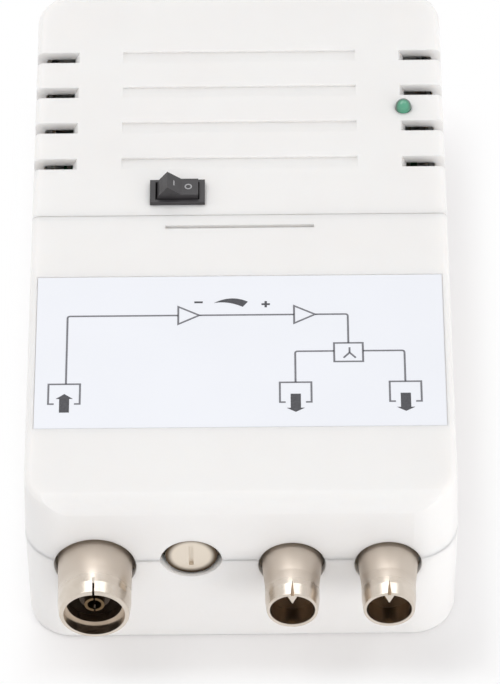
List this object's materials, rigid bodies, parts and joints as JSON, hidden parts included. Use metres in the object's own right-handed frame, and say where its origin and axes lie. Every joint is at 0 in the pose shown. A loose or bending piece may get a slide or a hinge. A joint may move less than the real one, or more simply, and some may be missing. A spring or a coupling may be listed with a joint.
{
  "type": "tv signal amplifier",
  "caption": "Flat moulded aerial signal amplifier with a coaxial input socket, coaxial output plugs, a gain adjuster, a rocker switch, a lamp and vented covers.",
  "frame": {"origin": "middle of the flat back of the case", "axes": "+X to the right of the label, +Y towards the cord end, +Z out of the label face"},
  "size_m": [0.076, 0.1414, 0.0398],
  "materials": {
    "white_plastic": "fine moulded white plastic",
    "label_film": "printed film",
    "screw_steel": "plated steel",
    "gland_plastic": "soft white plastic",
    "black_plastic": "moulded black plastic",
    "lamp_green": "tinted clear plastic",
    "tin_plate": "tinned sheet",
    "nickel_barrel": "nickel-plated brass",
    "contact_metal": "plated brass",
    "insulator_plastic": "natural plastic",
    "board": "phenolic laminate",
    "adjuster_plastic": "moulded plastic",
    "dark_component": "moulded epoxy",
    "ferrite": "sintered ferrite",
    "ceramic_body": "dipped ceramic",
    "resistor_body": "lacquered ceramic",
    "core_iron": "stacked sheet",
    "bobbin_plastic": "moulded plastic",
    "winding_tape": "taped copper winding",
    "pin_metal": "tinned wire",
    "capacitor_sleeve": "shrunk sleeve",
    "fuse_glass": "clear glass",
    "block_plastic": "moulded plastic",
    "blue_lead": "wire insulation",
    "red_lead": "wire insulation"
  },
  "bodies": {
    "housing": {"rear_shell": "white_plastic", "upper_cover": "white_plastic", "lower_cover": "white_plastic", "front_label": "label_film", "case_screws": "screw_steel", "cord_grommet": "gland_plastic", "switch_body": "black_plastic", "switch_terminals": "contact_metal", "switch_leads": "blue_lead", "led_lens": "lamp_green", "led_leads": "pin_metal", "rf_frame": "tin_plate", "rf_top_lid": "tin_plate", "rf_bottom_lid": "tin_plate", "rf_board": "board", "input_barrel": "nickel_barrel", "input_insulator": "insulator_plastic", "input_contact": "contact_metal", "output_1_barrel": "nickel_barrel", "output_2_barrel": "nickel_barrel", "output_1_insulator": "insulator_plastic", "output_2_insulator": "insulator_plastic", "output_1_pin": "contact_metal", "output_2_pin": "contact_metal", "gain_body": "adjuster_plastic", "rf_transistors": "dark_component", "splitter_core": "ferrite", "ceramic_capacitors": "ceramic_body", "rf_resistors": "resistor_body", "psu_board": "board", "board_screws": "screw_steel", "transformer_core": "core_iron", "transformer_bobbin": "bobbin_plastic", "transformer_winding": "winding_tape", "transformer_pins": "pin_metal", "smoothing_capacitor": "capacitor_sleeve", "output_capacitor": "capacitor_sleeve", "rectifier_diodes": "dark_component", "voltage_regulator": "dark_component", "fuse_link": "fuse_glass", "fuse_clips": "pin_metal", "terminal_block": "block_plastic", "feed_leads": "red_lead"},
    "rocker": {"switch_rocker": "black_plastic"},
    "adjuster": {"gain_shaft": "tin_plate"}
  },
  "joints": [
    {"name": "switch_rock", "type": "hinge", "parent": "housing", "child": "rocker", "pos_m": [-0.0113, 0.0106, 0.0358], "axis": [0, -1, 0], "range_deg": [0, 37]},
    {"name": "gain_turn", "type": "hinge", "parent": "housing", "child": "adjuster", "pos_m": [-0.0088, -0.0622, 0.0212], "axis": [0, 1, 0], "range_deg": [-135, 135]}
  ]
}
